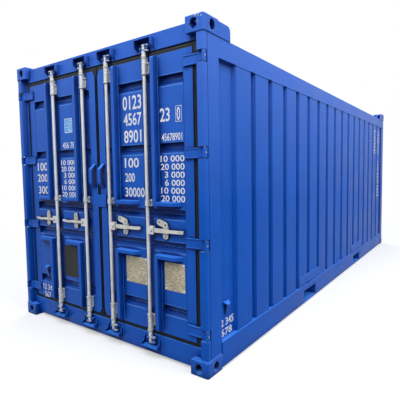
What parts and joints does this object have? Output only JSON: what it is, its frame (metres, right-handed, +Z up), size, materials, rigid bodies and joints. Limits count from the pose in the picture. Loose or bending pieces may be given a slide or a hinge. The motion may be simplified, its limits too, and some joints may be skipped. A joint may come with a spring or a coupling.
{
  "type": "shipping container",
  "caption": "Steel dry cargo container with hinged end doors, turning lock rods, corrugated walls, fork pockets, lifting eyes and corner castings.",
  "frame": {"origin": "centre of the footprint, on the ground under the bottom castings", "axes": "+Z up, X along the length with the doors at -X, Y across"},
  "size_m": [6.058, 2.438, 2.591],
  "materials": {
    "blue_paint": "satin, chipped at the castings",
    "white_paint": "satin",
    "seal_rubber": "matt",
    "plate_metal": "satin",
    "document_holder": "matt",
    "floor_board": "matt",
    "pin_steel": "dull"
  },
  "bodies": {
    "frame": {"corner_castings_top": "blue_paint", "corner_castings_bottom": "blue_paint", "door_posts": "blue_paint", "rear_posts": "blue_paint", "door_header": "blue_paint", "door_sill": "blue_paint", "rear_beams": "blue_paint", "top_side_rails": "blue_paint", "bottom_side_rails": "blue_paint", "fork_tubes": "blue_paint", "pocket_doublers": "blue_paint", "side_walls": "blue_paint", "rear_wall": "blue_paint", "roof_panel": "blue_paint", "floor_deck": "floor_board", "cross_members": "blue_paint", "lifting_eyes": "blue_paint", "eye_guards": "blue_paint", "hinge_pins": "pin_steel", "cam_guards": "blue_paint", "cam_keepers": "blue_paint", "wall_tie_eyes": "blue_paint"},
    "right_door": {"right_door_frame": "blue_paint", "right_door_panel": "blue_paint", "right_door_seal": "seal_rubber", "right_hinge_blades": "blue_paint", "right_rod_bearings": "white_paint", "right_rod_guards": "blue_paint", "right_handle_catches": "white_paint", "right_grab_handle": "blue_paint", "centre_plate": "blue_paint", "data_plates": "plate_metal"},
    "left_door": {"left_door_frame": "blue_paint", "left_door_panel": "blue_paint", "left_door_seal": "seal_rubber", "left_hinge_blades": "blue_paint", "left_rod_bearings": "white_paint", "left_rod_guards": "blue_paint", "left_handle_catches": "white_paint", "left_grab_handle": "blue_paint", "document_plate": "document_holder", "door_tie_eye": "blue_paint"},
    "right_inner_lock": {"right_inner_rod": "white_paint", "right_inner_cams": "white_paint", "right_inner_handle": "white_paint"},
    "right_outer_lock": {"right_outer_rod": "white_paint", "right_outer_cams": "white_paint", "right_outer_handle": "white_paint"},
    "left_inner_lock": {"left_inner_rod": "white_paint", "left_inner_cams": "white_paint", "left_inner_handle": "white_paint"},
    "left_outer_lock": {"left_outer_rod": "white_paint", "left_outer_cams": "white_paint", "left_outer_handle": "white_paint"}
  },
  "joints": [
    {"name": "right_door_hinge", "type": "hinge", "parent": "frame", "child": "right_door", "pos_m": [-3.012, -1.203, 1.309], "axis": [0, 0, 1], "range_deg": [0, 260]},
    {"name": "left_door_hinge", "type": "hinge", "parent": "frame", "child": "left_door", "pos_m": [-3.012, 1.203, 1.309], "axis": [0, 0, -1], "range_deg": [0, 260]},
    {"name": "right_inner_lock_turn", "type": "hinge", "parent": "right_door", "child": "right_inner_lock", "pos_m": [-3.003, -0.168, 1.05], "axis": [0, 0, 1], "range_deg": [-90, 0]},
    {"name": "right_outer_lock_turn", "type": "hinge", "parent": "right_door", "child": "right_outer_lock", "pos_m": [-3.003, -0.621, 1.05], "axis": [0, 0, 1], "range_deg": [-90, 0]},
    {"name": "left_inner_lock_turn", "type": "hinge", "parent": "left_door", "child": "left_inner_lock", "pos_m": [-3.003, 0.168, 1.05], "axis": [0, 0, -1], "range_deg": [-90, 0]},
    {"name": "left_outer_lock_turn", "type": "hinge", "parent": "left_door", "child": "left_outer_lock", "pos_m": [-3.003, 0.621, 1.05], "axis": [0, 0, -1], "range_deg": [-90, 0]}
  ]
}
